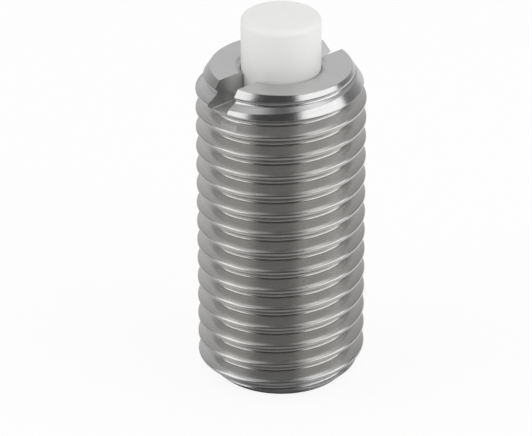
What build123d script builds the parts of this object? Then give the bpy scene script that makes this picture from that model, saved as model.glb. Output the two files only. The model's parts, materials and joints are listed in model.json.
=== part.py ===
"""Spring plunger M16: a threaded sleeve with a sprung plastic pin.

The sleeve stands on its rear end, with the pin on top. The origin is the middle
of the rear rim, +Z runs along the axis towards the pin, and lengths are in mm.
"""
from build123d import *
import math
import os

# ---- Thread, metric profile ---------------------------------------------------
thread_d = 16.0             # nominal diameter, over the crests
thread_pitch = 2.0
thread_angle = 60.0         # angle between the two flanks
thread_start = 59.0         # direction, from +X, in which the groove leaves the rear plane

# ---- Sleeve ---------------------------------------------------------------------
body_length = 32.0
front_face_d = 13.3         # flat ring at the front, inside its chamfer
front_chamfer_angle = 57.0  # from the front face
rear_face_d = 12.4          # flat ring at the rear, inside its chamfer
rear_chamfer_angle = 45.0   # from the rear face
rear_edge_round = 0.5       # the rim is burnished round where it was rolled
guide_length = 6.4          # bore that guides the pin, down to the shoulder
bore_mouth_chamfer = 0.5    # radial
bore_mouth_angle = 30.0     # from the front face
slot_width = 2.6            # screwdriver slot across the front
slot_depth = 2.6
slot_direction = 42.0       # from +X

# ---- Pin ------------------------------------------------------------------------
pin_d = 7.5
pin_stroke = 5.0            # how far the nose stands out, all of it usable
nose_round = 0.6
collar_length = 2.2
collar_edge = 0.3
spigot_length = 1.8         # centres the spring behind the collar
guide_clearance = 0.06      # radial, pin in its bore
collar_clearance = 0.2      # radial, collar in the spring chamber

# ---- End plug -------------------------------------------------------------------
plug_length = 7.0
plug_step = 0.3             # radial step from the spring chamber to the plug's seat
plug_clearance = 0.02       # radial, plug in its seat
plug_recess = 0.15          # how far the plug's end lies inside the rear plane
plug_edge = 0.55            # chamfer that the rolled lip holds
lip_width = 0.3             # radial, sleeve's edge rolled in over the plug
lip_gap = 0.12              # open line between the lip and the plug's chamfer
socket_af = 5.0             # hexagon across its flats
socket_depth = 4.6
socket_bevel_d = 7.2        # mouth of the conical lead-in
socket_bevel_angle = 40.0   # slope of the lead-in from the end face

# ---- Spring ---------------------------------------------------------------------
wire_d = 1.1
wire_sides = 6              # flats that stand for the round wire
spring_mean_d = 8.2
active_coils = 5.0
end_coils = 1.0             # closed coils at each end
coil_gap = 0.04             # between the closed coils
spring_clearance = 0.25     # radial, spring in its chamber

# ---- Sizes that follow ----------------------------------------------------------
flank_slope = math.tan(math.radians(thread_angle / 2))
sharp_height = thread_pitch / 2 / flank_slope   # of the ridge, if it came to an edge
crest_flat = thread_pitch / 8
thread_depth = 17 / 24 * sharp_height
thread_r = thread_d / 2
bore_r = pin_d / 2 + guide_clearance
bore_mouth_z = bore_mouth_chamfer * math.tan(math.radians(bore_mouth_angle))
chamber_r = (spring_mean_d + wire_d) / 2 + spring_clearance
seat_r = chamber_r + plug_step
front_chamfer = (thread_d - front_face_d) / 2
front_chamfer_z = front_chamfer * math.tan(math.radians(front_chamfer_angle))
rear_chamfer = (thread_d - rear_face_d) / 2
rear_chamfer_z = rear_chamfer * math.tan(math.radians(rear_chamfer_angle))
shoulder_z = body_length - guide_length
nose_z = body_length + pin_stroke
plug_front_z = plug_recess + plug_length
collar_r = chamber_r - collar_clearance
collar_back_z = shoulder_z - collar_length
spigot_r = (spring_mean_d - wire_d) / 2 - collar_clearance


def groove_half_width(height):
    """Half of the groove's width, this far above the crests, from the flanks' slope."""
    return (thread_pitch - crest_flat) / 2 + height * flank_slope


# ---- Sleeve: turned blank, thread, bores and slot -------------------------------
with BuildPart() as body:
    with BuildSketch(Plane.XZ) as blank:
        with BuildLine():
            Polyline(
                (0, 0),
                (rear_face_d / 2, 0),
                (thread_r, rear_chamfer_z),
                (thread_r, body_length - front_chamfer_z),
                (front_face_d / 2, body_length),
                (0, body_length),
                close=True,
            )
        make_face()
        rear_corner = blank.vertices().group_by(Axis.Y)[0].sort_by(Axis.X)[-1]
        fillet(rear_corner, rear_edge_round)
    revolve(axis=Axis.Z)

    # One turn of the groove is cut again and again up the blank. The cutter's mouth
    # stands a little above the crests, and two turns of it never meet.
    groove_z = -thread_pitch * thread_start / 360
    mouth_rise = crest_flat / 4 / flank_slope
    with BuildLine(mode=Mode.PRIVATE) as one_turn:
        Helix(thread_pitch, thread_pitch, thread_r, center=(0, 0, groove_z))
    groove_plane = Plane((thread_r, 0, groove_z), x_dir=(1, 0, 0), z_dir=(0, -1, 0))
    with BuildSketch(groove_plane, mode=Mode.PRIVATE) as groove:
        with BuildLine():
            mouth = groove_half_width(mouth_rise)
            root = groove_half_width(-thread_depth)
            Polyline(
                (mouth_rise, -mouth),
                (mouth_rise, mouth),
                (-thread_depth, root),
                (-thread_depth, -root),
                close=True,
            )
        make_face()
    groove_turn = sweep(groove.sketch, one_turn.line, is_frenet=True, mode=Mode.PRIVATE)
    turns = range(-1, math.ceil(body_length / thread_pitch) + 2)
    with Locations(*[(0, 0, turn * thread_pitch) for turn in turns]):
        add(groove_turn, mode=Mode.SUBTRACT)

    # Everything inside the sleeve, turned about the same axis.
    with BuildSketch(Plane.XZ) as inside:
        with BuildLine():
            Polyline(
                (0, 0),
                (seat_r - lip_width, 0),
                (seat_r, plug_recess + plug_edge - lip_gap),
                (seat_r, plug_front_z),
                (chamber_r, plug_front_z),
                (chamber_r, shoulder_z),
                (bore_r, shoulder_z),
                (bore_r, body_length - bore_mouth_z),
                (bore_r + bore_mouth_chamfer, body_length),
                (0, body_length),
                close=True,
            )
        make_face()
    revolve(axis=Axis.Z, mode=Mode.SUBTRACT)

    with BuildSketch(Plane.XY.offset(body_length)):
        Rectangle(thread_d + slot_width, slot_width, rotation=slot_direction)
    extrude(amount=-slot_depth, mode=Mode.SUBTRACT)

# ---- Pin: rounded nose, guided shank, collar and spring spigot --------------------
with BuildPart() as pin:
    with BuildSketch(Plane.XZ) as pin_profile:
        with BuildLine():
            Polyline(
                (0, collar_back_z - spigot_length),
                (spigot_r, collar_back_z - spigot_length),
                (spigot_r, collar_back_z),
                (collar_r, collar_back_z),
                (collar_r, shoulder_z),
                (pin_d / 2, shoulder_z),
                (pin_d / 2, nose_z),
                (0, nose_z),
                close=True,
            )
        make_face()
        corners = pin_profile.vertices()
        nose_corner = corners.group_by(Axis.Y)[-1].sort_by(Axis.X)[-1]
        fillet(nose_corner, nose_round)
        collar_corners = pin_profile.vertices().group_by(Axis.X)[-1]
        spigot_corner = pin_profile.vertices().group_by(Axis.Y)[0].sort_by(Axis.X)[-1]
        chamfer(collar_corners + ShapeList([spigot_corner]), collar_edge)
    revolve(axis=Axis.Z)

# ---- End plug: closes the rear and takes the hexagon key --------------------------
with BuildPart() as end_plug:
    plug_r = seat_r - plug_clearance
    with BuildSketch(Plane.XZ) as plug_profile:
        with BuildLine():
            Polyline(
                (0, plug_recess),
                (plug_r - plug_edge, plug_recess),
                (plug_r, plug_recess + plug_edge),
                (plug_r, plug_front_z),
                (0, plug_front_z),
                close=True,
            )
        make_face()
    revolve(axis=Axis.Z)
    with BuildSketch(Plane.XY.offset(plug_recess)):
        RegularPolygon(socket_af / 2, 6, major_radius=False)
    extrude(amount=socket_depth, mode=Mode.SUBTRACT)
    bevel_depth = socket_bevel_d / 2 * math.tan(math.radians(socket_bevel_angle))
    with Locations((0, 0, plug_recess)):
        Cone(
            bottom_radius=socket_bevel_d / 2,
            top_radius=0,
            height=bevel_depth,
            align=(Align.CENTER, Align.CENTER, Align.MIN),
            mode=Mode.SUBTRACT,
        )

# ---- Spring: closed end coils, open coils between --------------------------------
closed_pitch = wire_d + coil_gap
spring_bottom_z = plug_front_z + wire_d / 2
spring_top_z = collar_back_z - wire_d / 2
open_bottom_z = spring_bottom_z + end_coils * closed_pitch
open_top_z = spring_top_z - end_coils * closed_pitch
open_pitch = (open_top_z - open_bottom_z) / active_coils


def coil(pitch, turns, start_z):
    """Coils of wire from start_z up; each starts and ends on the plane through +X."""
    start = (spring_mean_d / 2, 0, start_z)
    with BuildPart() as coils:
        with BuildLine() as wire_path:
            Helix(pitch, pitch * turns, spring_mean_d / 2, center=(0, 0, start_z))
        with BuildSketch(Plane(start, x_dir=(1, 0, 0), z_dir=(0, -1, 0))):
            RegularPolygon(wire_d / 2, wire_sides, major_radius=True)
        sweep(path=wire_path.line, is_frenet=True)
    return coils.part


rear_coils = coil(closed_pitch, end_coils, spring_bottom_z)
open_coils = coil(open_pitch, active_coils, open_bottom_z)
front_coils = coil(closed_pitch, end_coils, open_top_z)
with BuildPart() as spring:
    add(rear_coils)
    add(open_coils)
    add(front_coils)

# ---- Export: one file for each piece ----------------------------------------------
body.part.label = "body"
pin.part.label = "pin"
end_plug.part.label = "end_plug"
spring.part.label = "spring"

os.makedirs("parts", exist_ok=True)
export_step(body.part, "parts/body.step")
export_step(pin.part, "parts/pin.step")
export_step(end_plug.part, "parts/end_plug.step")
export_step(spring.part, "parts/spring.step")
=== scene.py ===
"""Looks of a threaded spring plunger, laid out as an add-on.

All lengths are in metres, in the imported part's own frame: the sleeve stands on its
rear end at the origin, and +Z runs along the axis to the pin's nose.
"""

import cmath
import json
import math

import bpy
import numpy as np
from bpy.props import FloatProperty, FloatVectorProperty, PointerProperty
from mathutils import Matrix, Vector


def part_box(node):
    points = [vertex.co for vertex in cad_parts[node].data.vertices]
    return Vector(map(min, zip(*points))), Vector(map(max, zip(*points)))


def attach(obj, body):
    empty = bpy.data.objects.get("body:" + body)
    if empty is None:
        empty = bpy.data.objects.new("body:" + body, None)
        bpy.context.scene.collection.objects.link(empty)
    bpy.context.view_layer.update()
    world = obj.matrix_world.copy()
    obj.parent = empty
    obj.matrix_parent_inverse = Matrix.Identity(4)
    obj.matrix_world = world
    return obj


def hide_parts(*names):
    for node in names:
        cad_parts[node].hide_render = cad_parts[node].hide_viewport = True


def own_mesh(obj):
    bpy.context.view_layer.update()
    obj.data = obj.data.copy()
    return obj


bl_info = {
    "name": "Spring plunger",
    "version": (1, 0, 0),
    "blender": (4, 5, 0),
    "location": "View3D > Sidebar > Plunger",
    "description": "Builds a threaded spring plunger with a sprung plastic pin, and its stage",
    "category": "Object",
}

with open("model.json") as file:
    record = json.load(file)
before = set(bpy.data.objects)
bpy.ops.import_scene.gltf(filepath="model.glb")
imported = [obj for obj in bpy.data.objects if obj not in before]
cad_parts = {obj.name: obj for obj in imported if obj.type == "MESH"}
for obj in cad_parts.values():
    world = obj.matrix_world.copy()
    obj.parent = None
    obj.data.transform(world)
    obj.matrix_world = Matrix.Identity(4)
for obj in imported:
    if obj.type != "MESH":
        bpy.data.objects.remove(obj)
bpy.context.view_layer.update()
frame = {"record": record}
mounts = {mount["name"]: mount for mount in frame["record"]["mounts"]}
sleeve_low, sleeve_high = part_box("body")
pin_low, pin_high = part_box("pin")
plug_low, plug_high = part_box("end_plug")
spring_low, spring_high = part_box("spring")

MM = 0.001
AROUND = 136            # columns round a turned piece, and in one turn of the thread
ARC_STEPS = 9           # points in a rounded corner
THREAD_ROUND_STEPS = 7  # rows over each rounding of the thread
BOW_ROWS = (0.45, 0.725, 1)     # of the bow's width, where the bowed flank has its rows
WINDOW_STEPS = 21       # depths of which the thread's profile takes the mean
WIRE_STEPS = 72         # rings of the wire in one turn
WIRE_SIDES = 20
OPENING_TURN = 0.25     # share of a turn over which the spring's coils open
STOCK = 0.05 * MM       # how far the turned blank stands out over the thread's crests
COLUMN_SHIFT = 0.37     # of a column, so that the thread's columns miss the blank's
SHARP_ANGLE = math.radians(20)


# ---- Sizes and colours that a user would change ------------------------------------
def length(name, description, default):
    """A property for a length, with its default in millimetres."""
    return FloatProperty(
        name=name, description=description, default=default * MM, min=0, unit="LENGTH", precision=5
    )


def angle(name, description, default):
    """A property for an angle, with its default in degrees."""
    return FloatProperty(
        name=name, description=description, default=math.radians(default), unit="ROTATION"
    )


def share(name, description, default):
    """A property for a share from 0 to 1."""
    return FloatProperty(
        name=name, description=description, default=default, min=0, max=1, subtype="FACTOR"
    )


def colour(name, description, default):
    """A property for a colour, in linear light."""
    return FloatVectorProperty(
        name=name, description=description, default=default, min=0, max=1, subtype="COLOR"
    )


class SleeveSizes(bpy.types.PropertyGroup):
    pitch: length("Pitch", "Rise of the thread in one turn", 2.0)
    thread_angle: angle("Thread angle", "Between the thread's two flanks", 60)
    thread_start: angle("Thread start", "Direction in which the groove leaves the rear plane", 59)
    flank_share: share("Flank share", "Depth of the flanks, as a share of a sharp ridge's height", 0.655)
    crest_flat: length("Crest flat", "Width of a crest, with its edges", 0.26)
    crest_round: length("Crest rounding", "Width over which a crest's edges are rounded", 0.14)
    bow_width: length("Bow width", "Outer part of the flanks, which is slightly bowed", 0.35)
    bow_share: share("Bow share", "How much gentler the flank's slope is at the crest's edge", 0.22)
    root_round: length("Root rounding", "Width over which a root's corners are rounded", 0.29)
    front_face_radius: length("Front face radius", "Flat ring inside the front chamfer", 6.65)
    front_chamfer_angle: angle("Front chamfer angle", "Slope of the front chamfer from the front face", 57)
    rear_face_radius: length("Rear face radius", "Flat ring inside the rear chamfer", 6.2)
    rim_round: length("Rim rounding", "Round edge of the burnished rear rim", 0.5)
    edge_round: length("Edge rounding", "Broken edges of the turned faces", 0.1)
    guide_length: length("Guide length", "Bore that guides the pin", 6.4)
    guide_clearance: length("Guide clearance", "Radial gap round the pin in its bore", 0.06)
    mouth_chamfer: length("Mouth chamfer", "Radial width of the chamfer at the mouth of the bore", 0.5)
    mouth_angle: angle("Mouth angle", "Slope of the mouth's chamfer from the front face", 30)
    spring_clearance: length("Spring clearance", "Radial gap round the spring", 0.25)
    seat_clearance: length("Seat clearance", "Radial gap round the end plug", 0.02)
    lip_width: length("Lip width", "Edge rolled in over the end plug", 0.3)
    lip_gap: length("Lip gap", "Open line between the lip and the plug", 0.12)
    slot_width: length("Slot width", "Screwdriver slot across the front", 2.6)
    slot_corner: length("Slot corner", "Rounding along the slot's floor", 0.08)
    slot_direction: angle("Slot direction", "From +X", 42)


class PinSizes(bpy.types.PropertyGroup):
    nose_round: length("Nose rounding", "Rounded edge of the nose", 0.6)
    collar_length: length("Collar length", "Collar that stops on the shoulder", 2.2)
    collar_edge: length("Collar edge", "Rounded edges of the collar and the spigot", 0.3)
    spigot_length: length("Spigot length", "Spigot that centres the spring", 1.8)
    spigot_clearance: length("Spigot clearance", "Radial gap between the spigot and the spring", 0.2)


class PlugSizes(bpy.types.PropertyGroup):
    edge: length("Edge", "Chamfer that the rolled lip holds", 0.55)
    edge_round: length("Edge rounding", "Broken edges", 0.12)
    socket_flats: length("Socket", "Hexagon across its flats", 5.0)
    socket_corner: length("Socket corners", "Rounding in the hexagon's corners", 0.12)
    bevel_radius: length("Lead-in radius", "Mouth of the conical lead-in", 3.6)
    bevel_angle: angle("Lead-in angle", "Slope of the lead-in from the end face", 40)


class SpringSizes(bpy.types.PropertyGroup):
    wire: length("Wire", "Diameter of the wire", 1.1)
    active_coils: FloatProperty(name="Active coils", description="Open coils", default=5, min=1)
    end_coils: FloatProperty(name="End coils", description="Closed coils at each end", default=1, min=0)
    coil_gap: length("Coil gap", "Between closed coils", 0.04)


class Finishes(bpy.types.PropertyGroup):
    steel: colour("Steel", "Bright turned steel", (0.64, 0.64, 0.637))
    thread: colour("Thread", "Duller steel of the thread", (0.62, 0.61, 0.595))
    steel_roughness: share("Steel roughness", "How soft the turned steel's reflections are", 0.2)
    thread_roughness: share("Thread roughness", "How soft the thread's reflections are", 0.22)
    marks: share("Turning marks", "Strength of the fine marks left by turning and rolling", 0.25)
    plastic: colour("Plastic", "White of the pin", (0.83, 0.83, 0.82))
    plastic_roughness: share("Plastic roughness", "How soft the pin's highlights are", 0.38)
    wire: colour("Wire", "Drawn spring wire", (0.5, 0.5, 0.51))
    floor: colour("Floor", "Pale floor", (0.9, 0.9, 0.9))


# ---- Surfaces worked out with numpy -------------------------------------------------
def mesh_object(name, points, faces):
    """An object of the scene from points and faces."""
    mesh = bpy.data.meshes.new(name)
    mesh.from_pydata(points, [], faces)
    mesh.validate()
    piece = bpy.data.objects.new(name, mesh)
    bpy.context.scene.collection.objects.link(piece)
    return piece


def rounded(corners):
    """An outline through corners given as (across, up, rounding), each rounded by an arc.

    The arc touches both sides at rounding / tan(half the corner's angle) from the
    corner. Its centre lies rounding / sin(half the angle) along the line that halves
    the corner, and its points turn evenly from the first side to the second.
    """
    outline = []
    for index, (across, up, rounding) in enumerate(corners):
        corner = complex(across, up)
        if rounding == 0:
            outline.append([corner])
            continue
        before = complex(*corners[index - 1][:2]) - corner
        after = complex(*corners[(index + 1) % len(corners)][:2]) - corner
        before /= abs(before)
        after /= abs(after)
        half = abs(cmath.phase(after / before)) / 2
        centre = corner + (before + after) / abs(before + after) * rounding / math.sin(half)
        start = corner + before * rounding / math.tan(half) - centre
        end = corner + after * rounding / math.tan(half) - centre
        turned_by = cmath.phase(end / start) * np.linspace(0, 1, ARC_STEPS)
        outline.append(centre + start * np.exp(1j * turned_by))
    outline = np.concatenate(outline)
    return np.stack([outline.real, outline.imag], axis=1)


def ring_faces(rows, closed):
    """Quads between rows of AROUND points each; closed also joins the last row to the first."""
    row = np.arange(rows if closed else rows - 1)[:, None]
    column = np.arange(AROUND)[None, :]
    here = row * AROUND
    above = (row + 1) % rows * AROUND
    beside = (column + 1) % AROUND
    quads = np.stack([here + column, here + beside, above + beside, above + column], axis=-1)
    return quads.reshape(-1, 4)


def turned(name, outline):
    """A turned solid: the outline of (radius, height) carried round the Z axis.

    A point at angle a is (radius * cos a, radius * sin a, height). An outline that
    starts and ends on the axis is closed by fans to those two points; any other is
    joined end to end, as a ring. It runs anticlockwise, so that faces point outwards.
    """
    solid = outline[0, 0] == 0
    wall = outline[1:-1] if solid else outline
    turn = np.linspace(0, 2 * math.pi, AROUND, endpoint=False)
    radius, height = wall[:, :1], wall[:, 1:]
    heights = np.broadcast_to(height, (len(wall), AROUND))
    points = np.stack([radius * np.cos(turn), radius * np.sin(turn), heights], axis=-1).reshape(-1, 3)
    faces = ring_faces(len(wall), closed=not solid).tolist()
    if solid:
        column = np.arange(AROUND)
        beside = (column + 1) % AROUND
        low_pole = len(points)
        last_row = (len(wall) - 1) * AROUND
        points = np.concatenate([points, [[0, 0, outline[0, 1]], [0, 0, outline[-1, 1]]]])
        low_poles = np.full(AROUND, low_pole)
        faces += np.stack([low_poles, beside, column], axis=-1).tolist()
        faces += np.stack([low_poles + 1, last_row + column, last_row + beside], axis=-1).tolist()
    return mesh_object(name, points, faces)


def prism(name, outline, across, up, along, middle, low, high):
    """A straight bar: point = middle + x * across + y * up + d * along, for an outline
    of (x, y) and for d equal to low at one end and high at the other."""
    flat = middle + outline[:, :1] * across + outline[:, 1:] * up
    count = len(outline)
    points = np.concatenate([flat + low * along, flat + high * along])
    index = np.arange(count)
    beside = (index + 1) % count
    faces = np.stack([index, beside, beside + count, index + count], axis=-1).tolist()
    faces += [index[::-1].tolist(), (index + count).tolist()]
    return mesh_object(name, points, faces)


def thread_profile(sizes, place):
    """Depth of the thread below its crests, for a place along the pitch, 0 at a crest.

    Between a crest's flat and the root, a share of the sharp ridge's height deep, the
    depth rises with the flank's slope. At the crest's edge the slope is less by the
    bow's share, and it grows evenly to the flank's own over the bow's width. Each value
    is the mean over a short window, which rounds the edges, less the least of them, so
    that the crests keep their full diameter.
    """
    slope = 1 / math.tan(sizes.thread_angle / 2)
    full_depth = sizes.flank_share * sizes.pitch / 2 * slope
    window = np.where(np.abs(place) < sizes.pitch / 4, sizes.crest_round, sizes.root_round)
    spots = place[:, None] + window[:, None] * np.linspace(-0.5, 0.5, WINDOW_STEPS)
    past = np.maximum(np.abs(spots) - sizes.crest_flat / 2, 0)
    bowed = np.minimum(past, sizes.bow_width)
    eased = bowed * bowed / (2 * sizes.bow_width) + past - bowed
    flank = (past * (1 - sizes.bow_share) + eased * sizes.bow_share) * slope
    depth = np.minimum(flank, full_depth).mean(axis=1)
    return depth - depth.min()


def threaded_rod(name, sizes, crest_radius, low, high):
    """A solid rod with a right-hand thread, as a helical grid.

    Rows follow the helix: at angle a, a row that starts at height s is at
    s + pitch * a / (2 pi), and its radius is the crest radius less the profile's depth.
    Rows repeat with the pitch, so a row's last column meets the first column of the
    row one turn above. Each end is closed by a fan to a point on the axis.
    """
    crest_edge = sizes.crest_flat / 2
    root_edge = crest_edge + (sizes.flank_share * sizes.pitch + sizes.bow_share * sizes.bow_width) / 2
    over_rounding = np.linspace(-0.5, 0.5, THREAD_ROUND_STEPS)
    half = np.concatenate([
        crest_edge + sizes.crest_round * over_rounding,
        crest_edge + sizes.bow_width * np.array(BOW_ROWS),
        root_edge + sizes.root_round * over_rounding,
    ])
    place = np.concatenate([half, [sizes.pitch / 2], sizes.pitch - half[::-1], [sizes.pitch]])
    per_turn = len(place)
    wrapped = (place + sizes.pitch / 2) % sizes.pitch - sizes.pitch / 2
    depth = thread_profile(sizes, wrapped)
    crest_height = sizes.pitch * (0.5 - sizes.thread_start / (2 * math.pi))
    first = math.floor((low - crest_height) / sizes.pitch) - 1
    last = math.ceil((high - crest_height) / sizes.pitch) + 1
    starts = (crest_height + sizes.pitch * np.arange(first, last)[:, None] + place[None, :]).ravel()
    rows = len(starts)
    radius = crest_radius - np.tile(depth, last - first)[:, None]
    turn = ((np.arange(AROUND) + COLUMN_SHIFT) / AROUND)[None, :]
    points = np.stack([
        radius * np.cos(2 * math.pi * turn),
        radius * np.sin(2 * math.pi * turn),
        starts[:, None] + sizes.pitch * turn,
    ], axis=-1).reshape(-1, 3)

    row = np.arange(rows - 1)[:, None]
    column = np.arange(AROUND)[None, :]
    here = row * AROUND + column
    seam = column == AROUND - 1
    beside = np.where(seam, (row + per_turn) * AROUND, here + 1)
    quads = np.stack([here, beside, beside + AROUND, here + AROUND], axis=-1)
    quads = quads[np.broadcast_to(~seam | (row + 1 + per_turn < rows), here.shape)]

    grid = np.arange(rows * AROUND).reshape(rows, AROUND)
    low_edge = np.concatenate([grid[0], grid[per_turn:0:-1, 0]])
    high_edge = np.concatenate([grid[-1], grid[-2:-per_turn - 2:-1, -1]])
    low_pole = len(points)
    points = np.concatenate([points, [[0, 0, starts[0]], [0, 0, starts[-1] + sizes.pitch]]])
    low_fan = np.stack([np.full(len(low_edge), low_pole), np.roll(low_edge, -1), low_edge], axis=-1)
    high_fan = np.stack(
        [np.full(len(high_edge), low_pole + 1), high_edge, np.roll(high_edge, -1)], axis=-1
    )
    return mesh_object(name, points, quads.tolist() + low_fan.tolist() + high_fan.tolist())


def coiled_wire(name, sizes, low, high, outer_radius):
    """A round wire wound into a compression spring with closed ends.

    The wire's middle is (R cos a, R sin a, h): h rises by the closed pitch per turn in
    the end coils and by the open pitch between them, and the change is smoothed over
    a quarter of a turn. The wire is a circle in the plane through the axis.
    """
    wire_radius = sizes.wire / 2
    coil_radius = outer_radius - wire_radius
    turns = sizes.active_coils + 2 * sizes.end_coils
    turn = np.linspace(0, turns, int(turns * WIRE_STEPS) + 1)
    opening = np.clip((turn - sizes.end_coils) / OPENING_TURN + 0.5, 0, 1)
    closing = np.clip((turns - sizes.end_coils - turn) / OPENING_TURN + 0.5, 0, 1)
    openness = np.minimum(opening, closing)
    rise = np.concatenate([[0], np.cumsum((openness[1:] + openness[:-1]) / 2)])
    closed = (sizes.wire + sizes.coil_gap) * turn
    spare = (high - low - sizes.wire) - closed[-1]
    height = low + wire_radius + closed + spare * rise / rise[-1]
    sides = np.linspace(0, 2 * math.pi, WIRE_SIDES, endpoint=False)
    across = coil_radius + wire_radius * np.cos(sides)[None, :]
    angle_round = 2 * math.pi * turn[:, None]
    up = height[:, None] - wire_radius * np.sin(sides)[None, :]
    points = np.stack(
        [across * np.cos(angle_round), across * np.sin(angle_round), up], axis=-1
    ).reshape(-1, 3)
    row = np.arange(len(turn) - 1)[:, None] * len(sides)
    column = np.arange(len(sides))[None, :]
    beside = (column + 1) % len(sides)
    faces = np.stack(
        [row + column, row + beside, row + beside + len(sides), row + column + len(sides)], axis=-1
    ).reshape(-1, 4).tolist()
    ends = np.arange(len(sides))
    faces += [ends[::-1].tolist(), (ends + (len(turn) - 1) * len(sides)).tolist()]
    return mesh_object(name, points, faces)


# ---- From blanks to finished pieces -------------------------------------------------
def settle(piece):
    """Makes the piece's modifiers part of its mesh."""
    seen = piece.evaluated_get(bpy.context.evaluated_depsgraph_get())
    mesh = bpy.data.meshes.new_from_object(seen)
    piece.modifiers.clear()
    piece.data = mesh


def cut(piece, tool, operation):
    """Cuts the piece with another closed mesh, which is used up."""
    modifier = piece.modifiers.new("cut", "BOOLEAN")
    modifier.operation = operation
    modifier.solver = "EXACT"
    modifier.object = tool
    settle(piece)
    bpy.data.objects.remove(tool)


def smooth(piece):
    """Smooth shading with sharp edges kept, and large flat faces kept flat."""
    piece.data.shade_smooth()
    piece.data.set_sharp_from_angle(angle=SHARP_ANGLE)
    modifier = piece.modifiers.new("flat faces", "WEIGHTED_NORMAL")
    modifier.keep_sharp = True
    settle(piece)


def finish_piece(piece, node, body, material):
    """Gives a piece its finish and its place among the CAD bodies."""
    piece.data.materials.clear()
    piece.data.materials.append(material)
    smooth(piece)
    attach(piece, body)
    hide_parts(node)


# ---- Materials ----------------------------------------------------------------------
class Signal:
    """A shader socket that works in Python sums: every operator adds a Math node."""

    def __init__(self, finish, socket):
        self.finish = finish
        self.socket = socket

    def math(self, operation, *values):
        return self.finish.add("ShaderNodeMath", {"operation": operation}, dict(enumerate(values)))

    def __add__(self, other):
        return self.math("ADD", self, other)

    def __sub__(self, other):
        return self.math("SUBTRACT", self, other)

    def __rsub__(self, other):
        return self.math("SUBTRACT", other, self)

    def __mul__(self, other):
        return self.math("MULTIPLY", self, other)

    def __truediv__(self, other):
        return self.math("DIVIDE", self, other)

    def __pow__(self, other):
        return self.math("POWER", self, other)

    __radd__ = __add__
    __rmul__ = __mul__


COLOUR_RESULT = 2       # the Mix node's output for colours


class Finish:
    """A node tree that is filled by add()."""

    def __init__(self, owner):
        owner.use_nodes = True
        self.tree = owner.node_tree
        self.tree.nodes.clear()

    def add(self, kind, settings, sockets, output=0):
        """Adds a node: its settings first, then a value or a Signal for each socket."""
        node = self.tree.nodes.new(kind)
        stops = settings.pop("stops", None)
        for name, value in settings.items():
            setattr(node, name, value)
        if stops:
            ramp = node.color_ramp
            while len(ramp.elements) < len(stops):
                ramp.elements.new(1)
            for element, (position, level) in zip(ramp.elements, stops):
                element.position = position
                element.color = (level, level, level, 1)
        for name, value in sockets.items():
            if isinstance(value, Signal):
                self.tree.links.new(value.socket, node.inputs[name])
            else:
                node.inputs[name].default_value = value
        return Signal(self, node.outputs[output]) if node.outputs else None

    def noise(self, vector, scale, detail, roughness=0.5):
        """Noise from 0 to 1 around 0.5."""
        return self.add("ShaderNodeTexNoise", {}, {
            "Vector": vector, "Scale": scale, "Detail": detail, "Roughness": roughness,
        })

    def ramp(self, value, *stops):
        """A level for a value, straight between stops of (value, level)."""
        return self.add("ShaderNodeValToRGB", {"stops": stops}, {"Fac": value})

    def vector(self, x, y, z):
        return self.add("ShaderNodeCombineXYZ", {}, {"X": x, "Y": y, "Z": z})

    def split(self, vector):
        """The x, y and z of a vector."""
        parts = self.add("ShaderNodeSeparateXYZ", {}, {"Vector": vector})
        return [Signal(self, socket) for socket in parts.socket.node.outputs]

    def rays(self, *kinds):
        """1 where the surface is met by a ray of one of these kinds, and 0 elsewhere."""
        paths = self.add("ShaderNodeLightPath", {}, {}).socket.node.outputs
        return sum(Signal(self, paths[f"Is {kind} Ray"]) for kind in kinds)

    def mix(self, factor, first, second, blend="MIX"):
        """A colour between two, or their product where the blend is MULTIPLY."""
        return self.add(
            "ShaderNodeMix", {"data_type": "RGBA", "blend_type": blend},
            {"Factor": factor, "A": first, "B": second}, output=COLOUR_RESULT,
        )

    def place(self):
        """The object coordinates, as a vector and as its x, y and z."""
        place = self.add("ShaderNodeTexCoord", {}, {}, output="Object")
        return [place, *self.split(place)]


def rgba(value):
    """A colour with full alpha."""
    return (*value, 1)


def from_axis(x, y):
    """Distance from the Z axis."""
    return (x * x + y * y) ** 0.5


def new_material(name):
    """A material and the empty node tree of its finish."""
    material = bpy.data.materials.new(name)
    return material, Finish(material)


HELICAL_MARKS = 9000    # noise scales, per metre
HELICAL_CIRCLE = 5      # radius of the circle on which one pitch of marks is laid out
RING_MARKS = 14000
RING_DRIFT = 300
CLOUDS = 260
GRAIN = 6500
MARK_DEPTH = 0.03 * MM
BROKEN_EDGE = 0.08 * MM
BEVEL_SAMPLES = 6
FACE_STEEPNESS = (0.93, 0.98)   # from here on, a surface counts as an end face
END_BLEND = 0.02        # share of the sleeve's half length over which the ends' steel begins


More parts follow.
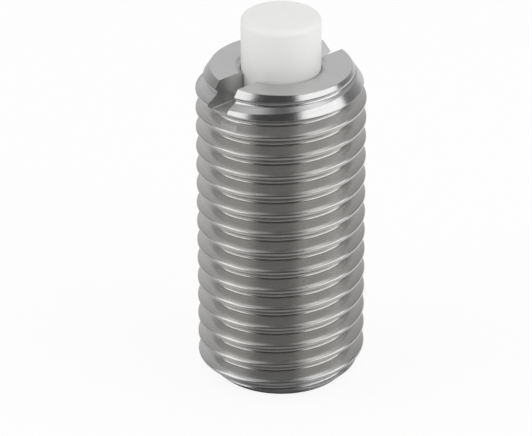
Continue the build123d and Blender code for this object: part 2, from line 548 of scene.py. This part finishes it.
def steel_finish(name, finishes, pitch, thread=None):
    """Turned steel: fine marks that follow the thread on the outside and run in rings
    on the end faces, over slow cloudy changes of tone and a fine grain. thread is
    (length of the sleeve, length of its bright turned ends) where there is a thread,
    which is duller."""
    material, finish = new_material(name)
    place, x, y, z = finish.place()
    normal = finish.add("ShaderNodeTexCoord", {}, {}, output="Normal")
    facing = finish.split(normal)[2]
    steepness = facing.math("ABSOLUTE", facing)
    radius = from_axis(x, y)
    phase = z * (2 * math.pi / pitch) - y.math("ARCTAN2", y, x)
    helical = finish.vector(
        phase.math("COSINE", phase) * HELICAL_CIRCLE, phase.math("SINE", phase) * HELICAL_CIRCLE,
        radius * HELICAL_MARKS,
    )
    rings = finish.vector(radius * RING_MARKS, 0.0, z * RING_DRIFT)
    on_face = finish.ramp(steepness, (FACE_STEEPNESS[0], 0), (FACE_STEEPNESS[1], 1))
    soft_rings = finish.noise(rings, 1.0, 4) * 0.3 + 0.35
    fine = finish.noise(helical, 1.0, 5) * (1 - on_face) + soft_rings * on_face
    cloud = finish.noise(place, CLOUDS, 4, 0.6)
    grain = finish.noise(place, GRAIN, 3, 0.6)
    base = rgba(finishes.steel)
    dullness = finishes.steel_roughness
    if thread:
        sleeve_length, turned_end = thread
        reach = z / sleeve_length * 2 - 1
        ends_begin = 1 - 2 * turned_end / sleeve_length
        ends = finish.ramp(reach.math("ABSOLUTE", reach), (ends_begin - END_BLEND, 0), (ends_begin, 1))
        base = finish.mix(ends, rgba(finishes.thread), base)
        dullness = finishes.thread_roughness + ends * (finishes.steel_roughness - finishes.thread_roughness)
    tone = (fine * 0.4 + cloud * 0.25 + grain * 0.35 - 0.5) * 0.5 + 0.98
    broken = finish.add("ShaderNodeBevel", {"samples": BEVEL_SAMPLES}, {"Radius": BROKEN_EDGE})
    bump = finish.add("ShaderNodeBump", {}, {
        "Strength": finishes.marks,
        "Distance": MARK_DEPTH,
        "Height": fine * 0.6 + grain * 0.2,
        "Normal": broken,
    })
    shader = finish.add("ShaderNodeBsdfPrincipled", {}, {
        "Base Color": finish.mix(1.0, base, tone, blend="MULTIPLY"),
        "Metallic": 1.0,
        "Roughness": (0.8 + (fine * 0.45 + grain * 0.55) * 0.4) * dullness,
        "Normal": bump,
    })
    finish.add("ShaderNodeOutputMaterial", {}, {"Surface": shader})
    return material


PLASTIC_RINGS = 6000    # noise scales, per metre
PLASTIC_CLOUDS = 400
PLASTIC_MARK_DEPTH = 0.03 * MM
PLASTIC_GLOW = 0.6 * MM         # how far light spreads under the white surface
WIRE_MARKS = 9000
WIRE_PATCHES = 500
WIRE_MARK_DEPTH = 0.02 * MM


def plastic_finish(name, white, roughness):
    """Turned white plastic: soft, slightly cloudy, with faint tool marks in rings."""
    material, finish = new_material(name)
    place, x, y, z = finish.place()
    rings = finish.noise(finish.vector(from_axis(x, y) * PLASTIC_RINGS, 0.0, z * PLASTIC_RINGS), 1.0, 3)
    cloud = finish.noise(place, PLASTIC_CLOUDS, 3)
    bump = finish.add("ShaderNodeBump", {}, {
        "Strength": 0.12, "Distance": PLASTIC_MARK_DEPTH, "Height": rings,
    })
    shader = finish.add("ShaderNodeBsdfPrincipled", {}, {
        "Base Color": finish.mix(cloud, rgba([level * 0.98 for level in white]), rgba(white)),
        "Roughness": roughness * 0.85 + rings * (roughness * 0.3),
        "Subsurface Weight": 0.2,
        "Subsurface Radius": (1.0, 1.0, 1.0),
        "Subsurface Scale": PLASTIC_GLOW,
        "Normal": bump,
    })
    finish.add("ShaderNodeOutputMaterial", {}, {"Surface": shader})
    return material


def wire_finish(name, tone):
    """Drawn wire: grey with darker patches, marked along its length."""
    material, finish = new_material(name)
    place, x, y, z = finish.place()
    drawn = finish.noise(finish.vector(from_axis(x, y) * WIRE_MARKS, 0.0, z * WIRE_MARKS), 1.0, 3)
    patches = finish.noise(place, WIRE_PATCHES, 4)
    bump = finish.add("ShaderNodeBump", {}, {
        "Strength": 0.3, "Distance": WIRE_MARK_DEPTH, "Height": drawn,
    })
    shader = finish.add("ShaderNodeBsdfPrincipled", {}, {
        "Base Color": finish.mix(patches, rgba([level * 0.8 for level in tone]), rgba(tone)),
        "Metallic": 1.0,
        "Roughness": 0.25 + drawn * 0.2,
        "Normal": bump,
    })
    finish.add("ShaderNodeOutputMaterial", {}, {"Surface": shader})
    return material


# ---- Operators, one for each piece --------------------------------------------------
class PLUNGER_OT_sleeve(bpy.types.Operator):
    """Builds the threaded sleeve with its bores and driver slot"""

    bl_idname = "plunger.sleeve"
    bl_label = "Sleeve"

    def execute(self, context):
        sizes = context.scene.plunger_sleeve
        plug = context.scene.plunger_plug
        finishes = context.scene.plunger_finishes
        top = sleeve_high.z
        crest_radius = sleeve_high.x
        stock = crest_radius + STOCK
        bore = mounts["pin_nose"]["dims"]["r_mm"] * MM + sizes.guide_clearance
        chamber = spring_high.x + sizes.spring_clearance
        seat = plug_high.x + sizes.seat_clearance
        shoulder = top - sizes.guide_length
        edge = sizes.edge_round
        blank = turned("sleeve", rounded([
            (sizes.rear_face_radius, 0, sizes.rim_round),
            (stock, stock - sizes.rear_face_radius, 0),
            (stock, top - (stock - sizes.front_face_radius) * math.tan(sizes.front_chamfer_angle), 0),
            (sizes.front_face_radius, top, edge),
            (bore + sizes.mouth_chamfer, top, edge / 2),
            (bore, top - sizes.mouth_chamfer * math.tan(sizes.mouth_angle), edge / 2),
            (bore, shoulder, edge),
            (chamber, shoulder, 0),
            (chamber, plug_high.z, 0),
            (seat, plug_high.z, 0),
            (seat, plug_low.z + plug.edge - sizes.lip_gap, 0),
            (seat - sizes.lip_width, 0, edge),
        ]))
        cut(blank, threaded_rod("thread", sizes, crest_radius, 0, top), "INTERSECT")
        along = np.array([math.cos(sizes.slot_direction), math.sin(sizes.slot_direction), 0])
        across = np.array([-along[1], along[0], 0])
        half = sizes.slot_width / 2
        depth = mounts["driver_slot"]["dims"]["length_mm"] * MM
        slot = rounded([
            (-half, -depth, sizes.slot_corner),
            (half, -depth, sizes.slot_corner),
            (half, depth, 0),
            (-half, depth, 0),
        ])
        up = np.array([0, 0, 1])
        reach = crest_radius + half
        cut(blank, prism("slot", slot, across, up, along, top * up, -reach, reach), "DIFFERENCE")
        # The turned ends stay bright about as far down as the slot is deep.
        steel = steel_finish("turned_steel", finishes, sizes.pitch, thread=(top, depth))
        finish_piece(blank, "body", "sleeve", steel)
        return {"FINISHED"}


class PLUNGER_OT_pin(bpy.types.Operator):
    """Builds the sprung plastic pin"""

    bl_idname = "plunger.pin"
    bl_label = "Pin"

    def execute(self, context):
        sizes = context.scene.plunger_pin
        sleeve = context.scene.plunger_sleeve
        finishes = context.scene.plunger_finishes
        radius = mounts["pin_nose"]["dims"]["r_mm"] * MM
        shoulder = sleeve_high.z - sleeve.guide_length
        collar_back = shoulder - sizes.collar_length
        spigot = spring_high.x - context.scene.plunger_spring.wire - sizes.spigot_clearance
        collar = pin_high.x
        edge = sizes.collar_edge
        piece = turned("pin_nose_and_collar", rounded([
            (0, pin_low.z, 0),
            (spigot, pin_low.z, edge),
            (spigot, collar_back, 0),
            (collar, collar_back, edge),
            (collar, shoulder, edge),
            (radius, shoulder, 0),
            (radius, pin_high.z, sizes.nose_round),
            (0, pin_high.z, 0),
        ]))
        plastic = plastic_finish("white_plastic", finishes.plastic, finishes.plastic_roughness)
        finish_piece(piece, "pin", "pin", plastic)
        return {"FINISHED"}


CORE_SHARE = 0.45       # of the socket's flats: where the lead-in stops, inside the hexagon


class PLUNGER_OT_end_plug(bpy.types.Operator):
    """Builds the end plug with its hexagon socket"""

    bl_idname = "plunger.end_plug"
    bl_label = "End plug"

    def execute(self, context):
        sizes = context.scene.plunger_plug
        sleeve = context.scene.plunger_sleeve
        finishes = context.scene.plunger_finishes
        radius = plug_high.x
        base = plug_low.z
        edge = sizes.edge_round
        slope = math.tan(sizes.bevel_angle)
        core = sizes.socket_flats * CORE_SHARE
        piece = turned("socket_plug", rounded([
            (0, base + (sizes.bevel_radius - core) * slope, 0),
            (core, base + (sizes.bevel_radius - core) * slope, 0),
            (sizes.bevel_radius, base, edge),
            (radius - sizes.edge, base, edge),
            (radius, base + sizes.edge, 0),
            (radius, plug_high.z, edge),
            (0, plug_high.z, 0),
        ]))
        corner_radius = sizes.socket_flats / 2 / math.cos(math.pi / 6)
        hexagon = rounded([
            (corner_radius * math.cos(k * math.pi / 3 + math.pi / 6),
             corner_radius * math.sin(k * math.pi / 3 + math.pi / 6),
             sizes.socket_corner)
            for k in range(6)
        ])
        depth = mounts["hex_socket"]["dims"]["length_mm"] * MM
        axes = np.eye(3)
        cut(piece, prism("socket", hexagon, *axes, base * axes[2], -depth, depth), "DIFFERENCE")
        steel = steel_finish("plug_steel", finishes, sleeve.pitch)
        finish_piece(piece, "end_plug", "sleeve", steel)
        return {"FINISHED"}


class PLUNGER_OT_spring(bpy.types.Operator):
    """Builds the compression spring"""

    bl_idname = "plunger.spring"
    bl_label = "Spring"

    def execute(self, context):
        sizes = context.scene.plunger_spring
        finishes = context.scene.plunger_finishes
        piece = coiled_wire("compression_spring", sizes, spring_low.z, spring_high.z, spring_high.x)
        finish_piece(piece, "spring", "sleeve", wire_finish("drawn_wire", finishes.wire))
        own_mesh(piece)
        return {"FINISHED"}


# ---- Stage --------------------------------------------------------------------------
CAMERA_ELEVATION = math.radians(28.0)
CAMERA_DISTANCE = 0.3179
CAMERA_AIM = 0.01583    # height on the axis at which the camera points
LENS = 225.9            # focal length, in millimetres
SHIFT = -0.0283         # of the frame's width, which moves the part off its middle
FLOOR_REACH = 3.0
FLOOR_GAP = 0.02 * MM   # keeps the floor clear of the sleeve's rim

# What reflected rays see, as stops of (value, level).
ROOM_BY_DEPTH = ((0.1, 0.05), (0.35, 0.11), (0.5, 0.26), (0.6, 0.5), (0.8, 0.62), (0.95, 0.71))
RIGHT_GLOW = ((0.75, 0), (0.95, 0.3))
RIGHT_GLOW_FADES = ((0.03, 1), (0.2, 0))
OVERHEAD_BY_SIDE = (
    (0.12, 0.7), (0.2, 0.74), (0.27, 0.46), (0.35, 0.16), (0.52, 0.1), (0.58, 0.28),
    (0.64, 0.62), (0.71, 1.0), (0.83, 1.28), (0.92, 1.1), (1, 0.6),
)
OVERHEAD_BEGINS = ((0.75, 0), (0.88, 1))
OVERHEAD_BEHIND = ((0.22, 0), (0.4, 1))
# Painted shade on the floor, seen only in reflections: the floor's colour by azimuth round the part.
FLOOR_PAINTED_SHADE_BY_AZIMUTH = ((0.36, 0.72), (0.41, 0.32), (0.545, 0.32), (0.585, 0.72), (0.68, 0.72), (0.74, 0.95))
EVEN_LEVEL = 0.73       # the world, for surfaces that aren't mirrors
FLOOR_WHITE = 0.9       # share of plain white in the floor that the camera sees


def towards(azimuth, elevation, distance):
    """A point that far from the origin: azimuth 0 is where the camera stands, 90 is +X."""
    a, e = math.radians(azimuth), math.radians(elevation)
    return distance * np.array([math.sin(a) * math.cos(e), -math.cos(a) * math.cos(e), math.sin(e)])


def soft_box(name, azimuth, elevation, distance, width, height, level):
    """A rectangular lamp that faces the part; level is its brightness in reflections."""
    lamp = bpy.data.lights.new(name, "AREA")
    lamp.shape = "RECTANGLE"
    lamp.size = width
    lamp.size_y = height
    lamp.energy = level * math.pi * width * height
    place = bpy.data.objects.new(name, lamp)
    place.location = towards(azimuth, elevation, distance)
    place.rotation_euler = (-place.location).to_track_quat("-Z", "Y").to_euler()
    place.visible_camera = False
    bpy.context.scene.collection.objects.link(place)


def studio_world():
    """White behind the part. Metal sees a room instead, which is dim on the camera's
    side and lighter towards the back, with a weak glow low at the right. Overhead,
    from just in front of the part to behind it, the room is bright at the right,
    fair at the left and dark between. Everything else gets an even light."""
    world = bpy.data.worlds.new("studio")
    bpy.context.scene.world = world
    finish = Finish(world)
    direction = finish.add("ShaderNodeTexCoord", {}, {}, output="Generated")
    side, depth, up = finish.split(direction)
    room = finish.ramp(depth * 0.5 + 0.5, *ROOM_BY_DEPTH) * (1 - side * 0.1 - side * side * 0.7)
    room = room + finish.ramp(side, *RIGHT_GLOW) * finish.ramp(up, *RIGHT_GLOW_FADES)
    overhead = finish.ramp(side + 0.5, *OVERHEAD_BY_SIDE)
    above = finish.ramp(up, *OVERHEAD_BEGINS) * finish.ramp(depth + 0.5, *OVERHEAD_BEHIND)
    room = room + above * (overhead - room)
    straight = finish.rays("Camera", "Transmission")
    glossy = finish.rays("Glossy")
    level = straight + (1 - straight) * (glossy * room + (1 - glossy) * EVEN_LEVEL)
    background = finish.add("ShaderNodeBackground", {}, {"Color": level, "Strength": 1.0})
    finish.add("ShaderNodeOutputWorld", {}, {"Surface": background})


def floor_finish(tone):
    """Pale floor: the camera sees it almost white, with a faint shadow of the part.
    Shade is painted on it for metal: in reflections it is painted dim in a wedge towards
    the camera, lighter at both sides of that, and nearly as pale as it is from the right
    round to the back."""
    material, finish = new_material("pale_floor")
    x, y = finish.place()[1:3]
    azimuth = x.math("ARCTAN2", x, 0 - y) / (2 * math.pi) + 0.5
    # Painted shade: for glossy rays only, the floor's colour is darkened by azimuth.
    seen = finish.ramp(azimuth, *FLOOR_PAINTED_SHADE_BY_AZIMUTH)
    painted_shade_level = 1 + finish.rays("Glossy") * (seen - 1)
    floor_colour_with_painted_shade = finish.mix(painted_shade_level, (0, 0, 0, 1), rgba(tone))
    diffuse = finish.add("ShaderNodeBsdfDiffuse", {}, {"Color": floor_colour_with_painted_shade})
    white = finish.add("ShaderNodeEmission", {}, {"Color": (1, 1, 1, 1), "Strength": 1.0})
    whiteness = finish.rays("Camera", "Transmission") * FLOOR_WHITE
    shader = finish.add("ShaderNodeMixShader", {}, {0: whiteness, 1: diffuse, 2: white})
    finish.add("ShaderNodeOutputMaterial", {}, {"Surface": shader})
    return material


class PLUNGER_OT_stage(bpy.types.Operator):
    """Builds the floor, the lights and the camera"""

    bl_idname = "plunger.stage"
    bl_label = "Stage"

    def execute(self, context):
        scene = context.scene
        corners = [(-1, -1), (1, -1), (1, 1), (-1, 1)]
        points = [(x * FLOOR_REACH, y * FLOOR_REACH, -FLOOR_GAP) for x, y in corners]
        floor = mesh_object("floor", points, [(0, 1, 2, 3)])
        floor.data.materials.append(floor_finish(scene.plunger_finishes.floor))
        studio_world()
        soft_box("left_box", azimuth=-77, elevation=35, distance=0.4, width=0.33, height=0.3, level=1.25)
        soft_box("right_box", azimuth=66, elevation=35, distance=0.4, width=0.42, height=0.3, level=1.35)
        camera = bpy.data.objects.new("camera", bpy.data.cameras.new("camera"))
        camera.data.lens = LENS
        camera.data.shift_x = SHIFT
        camera.location = towards(0, math.degrees(CAMERA_ELEVATION), CAMERA_DISTANCE)
        camera.location.z += CAMERA_AIM
        camera.rotation_euler = (math.pi / 2 - CAMERA_ELEVATION, 0, 0)
        scene.collection.objects.link(camera)
        scene.camera = camera
        scene.view_settings.view_transform = "Standard"
        return {"FINISHED"}


class PLUNGER_PT_panel(bpy.types.Panel):
    """Lists the pieces and their sizes"""

    bl_idname = "PLUNGER_PT_panel"
    bl_label = "Spring plunger"
    bl_space_type = "VIEW_3D"
    bl_region_type = "UI"
    bl_category = "Plunger"

    def draw(self, context):
        for operator in OPERATORS:
            self.layout.operator(operator.bl_idname)
        for name in GROUPS:
            box = self.layout.box()
            group = getattr(context.scene, name)
            for size in group.bl_rna.properties.keys():
                if size not in {"rna_type", "name"}:
                    box.prop(group, size)


OPERATORS = [PLUNGER_OT_sleeve, PLUNGER_OT_end_plug, PLUNGER_OT_spring, PLUNGER_OT_pin, PLUNGER_OT_stage]
GROUPS = {
    "plunger_sleeve": SleeveSizes,
    "plunger_pin": PinSizes,
    "plunger_plug": PlugSizes,
    "plunger_spring": SpringSizes,
    "plunger_finishes": Finishes,
}


def register():
    for group in GROUPS.values():
        bpy.utils.register_class(group)
    for name, group in GROUPS.items():
        setattr(bpy.types.Scene, name, PointerProperty(type=group))
    for operator in OPERATORS:
        bpy.utils.register_class(operator)
    bpy.utils.register_class(PLUNGER_PT_panel)


def unregister():
    bpy.utils.unregister_class(PLUNGER_PT_panel)
    for operator in reversed(OPERATORS):
        bpy.utils.unregister_class(operator)
    for name in GROUPS:
        delattr(bpy.types.Scene, name)
    for group in reversed(GROUPS.values()):
        bpy.utils.unregister_class(group)


def main():
    register()
    bpy.ops.plunger.sleeve()
    bpy.ops.plunger.end_plug()
    bpy.ops.plunger.spring()
    bpy.ops.plunger.pin()
    bpy.ops.plunger.stage()


if __name__ == "__main__":
    main()
